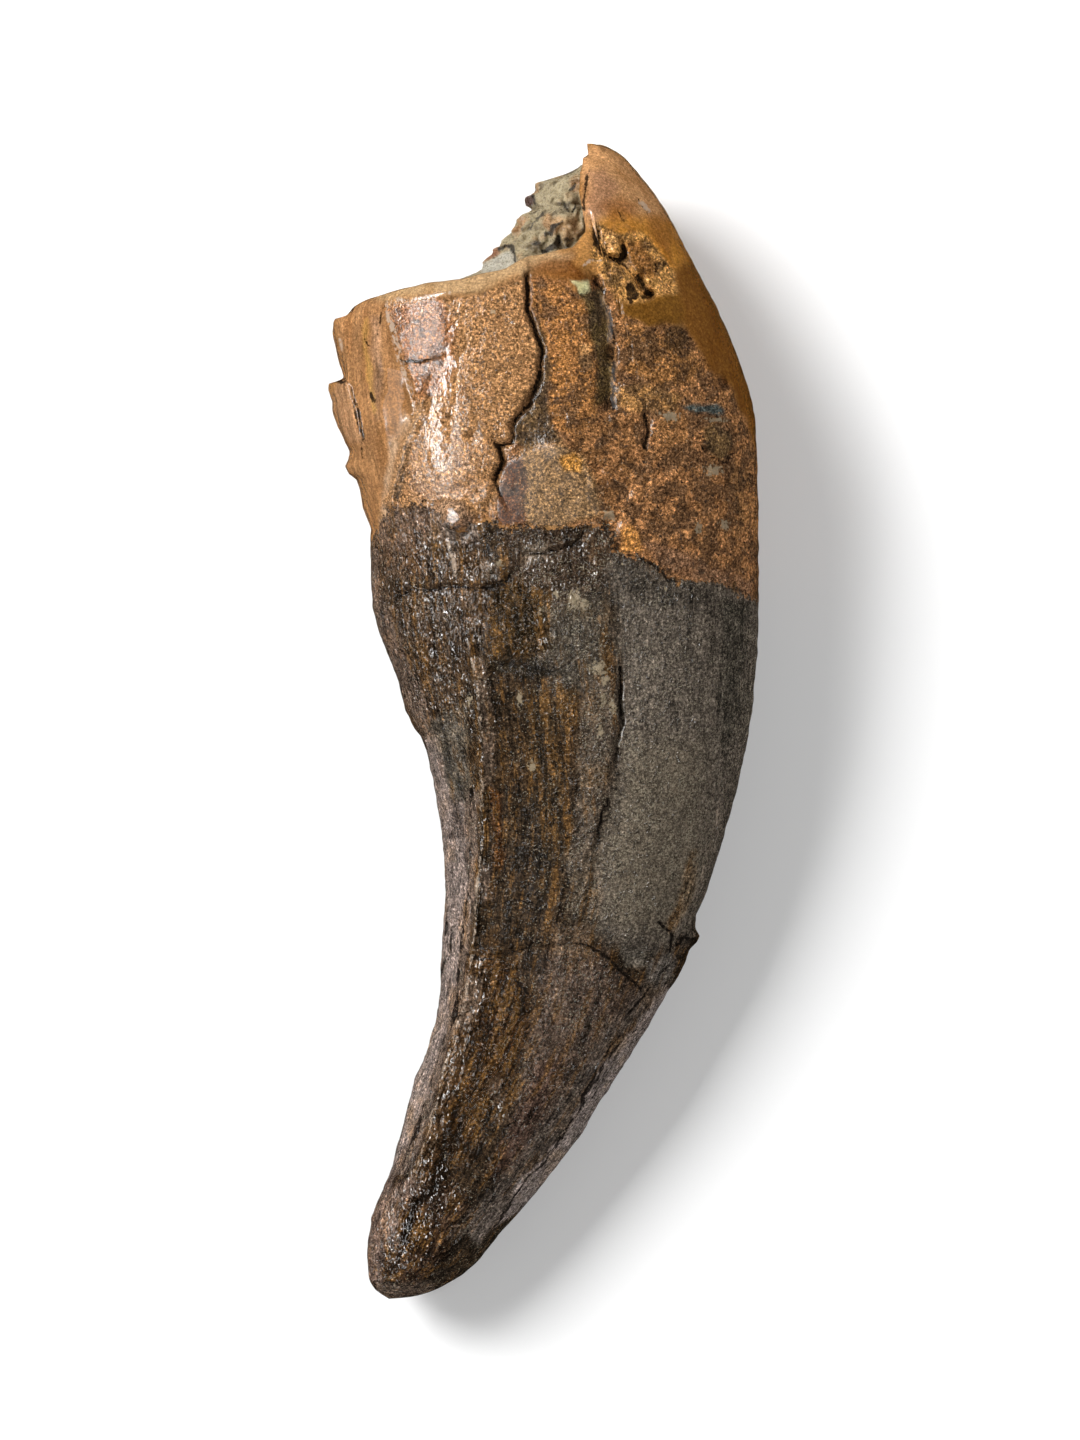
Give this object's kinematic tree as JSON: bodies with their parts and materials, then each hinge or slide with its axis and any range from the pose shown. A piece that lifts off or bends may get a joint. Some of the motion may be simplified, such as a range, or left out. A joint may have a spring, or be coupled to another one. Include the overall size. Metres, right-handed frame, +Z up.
{
  "type": "fossil tyrannosaur tooth",
  "caption": "A large curved fossil tooth with a worn crown, a broken hollow root and rock set hard in the root, lying on its side.",
  "frame": {"origin": "Under the middle of the tooth's bounding box, on the surface that it lies on.", "axes": "+Y runs from the crown's tip to the root, +X towards the tooth's convex front edge, and +Z up from the surface, through the side that the picture shows."},
  "size_m": [0.0554, 0.15, 0.0381],
  "materials": {
    "fossil_tooth": "dark brown worn enamel on the crown and orange brown bone on the root, both under a glossy consolidant",
    "sediment": "lumpy grey green and tan sediment with a thin glossy consolidant"
  },
  "bodies": {
    "root": {"tooth": "fossil_tooth", "matrix_plug": "sediment"}
  },
  "joints": []
}
